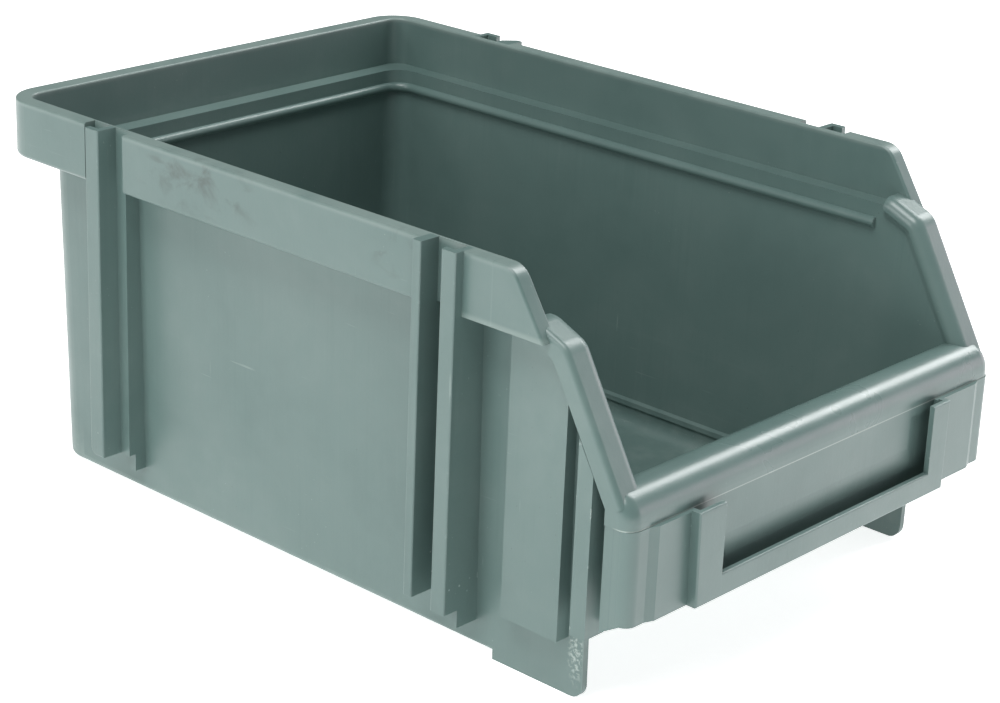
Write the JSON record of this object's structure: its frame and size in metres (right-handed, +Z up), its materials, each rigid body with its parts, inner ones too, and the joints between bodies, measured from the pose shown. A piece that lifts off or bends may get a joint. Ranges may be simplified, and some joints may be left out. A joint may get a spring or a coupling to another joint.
{
  "type": "stackable storage bin",
  "caption": "Open-fronted stackable storage bin with a rim collar, inner seat ledge, rolled front lip, label holder, side link rails and two feet.",
  "frame": {"origin": "centre of the overall footprint, on the plane the two feet stand on", "axes": "+Z up; -Y towards the open front and the label holder, so +Y towards the rear wall; +X to the right seen from the front"},
  "size_m": [0.1086, 0.1582, 0.073],
  "materials": {
    "sage_plastic": "semi-gloss moulded polypropylene, sage grey-green",
    "nose_plastic": "the same plastic on the lip and nose, a little smoother"
  },
  "bodies": {
    "root": {"floor_panel": "sage_plastic", "rear_wall": "sage_plastic", "left_side_wall": "sage_plastic", "right_side_wall": "sage_plastic", "front_wall": "sage_plastic", "left_low_ridge": "sage_plastic", "right_low_ridge": "sage_plastic", "left_floor_cove": "sage_plastic", "right_floor_cove": "sage_plastic", "rear_collar": "sage_plastic", "left_collar": "sage_plastic", "right_collar": "sage_plastic", "left_rim_band_middle": "sage_plastic", "left_rim_band_front": "sage_plastic", "right_rim_band_middle": "sage_plastic", "right_rim_band_front": "sage_plastic", "rear_ledge": "sage_plastic", "left_ledge": "sage_plastic", "right_ledge": "sage_plastic", "rear_inner_bead": "sage_plastic", "left_inner_bead": "sage_plastic", "right_inner_bead": "sage_plastic", "left_edge_bead": "sage_plastic", "right_edge_bead": "sage_plastic", "front_lip": "nose_plastic", "left_nose_side": "nose_plastic", "right_nose_side": "nose_plastic", "front_panel": "nose_plastic", "label_holder_bar": "nose_plastic", "label_holder_left": "nose_plastic", "label_holder_right": "nose_plastic", "left_rear_hook": "sage_plastic", "left_rear_pad": "sage_plastic", "left_mid_rail": "sage_plastic", "left_mid_hook": "sage_plastic", "left_front_pad": "sage_plastic", "left_front_hook": "sage_plastic", "right_rear_hook": "sage_plastic", "right_rear_rail": "sage_plastic", "right_mid_hook": "sage_plastic", "left_foot": "sage_plastic", "right_foot": "sage_plastic"}
  },
  "joints": []
}
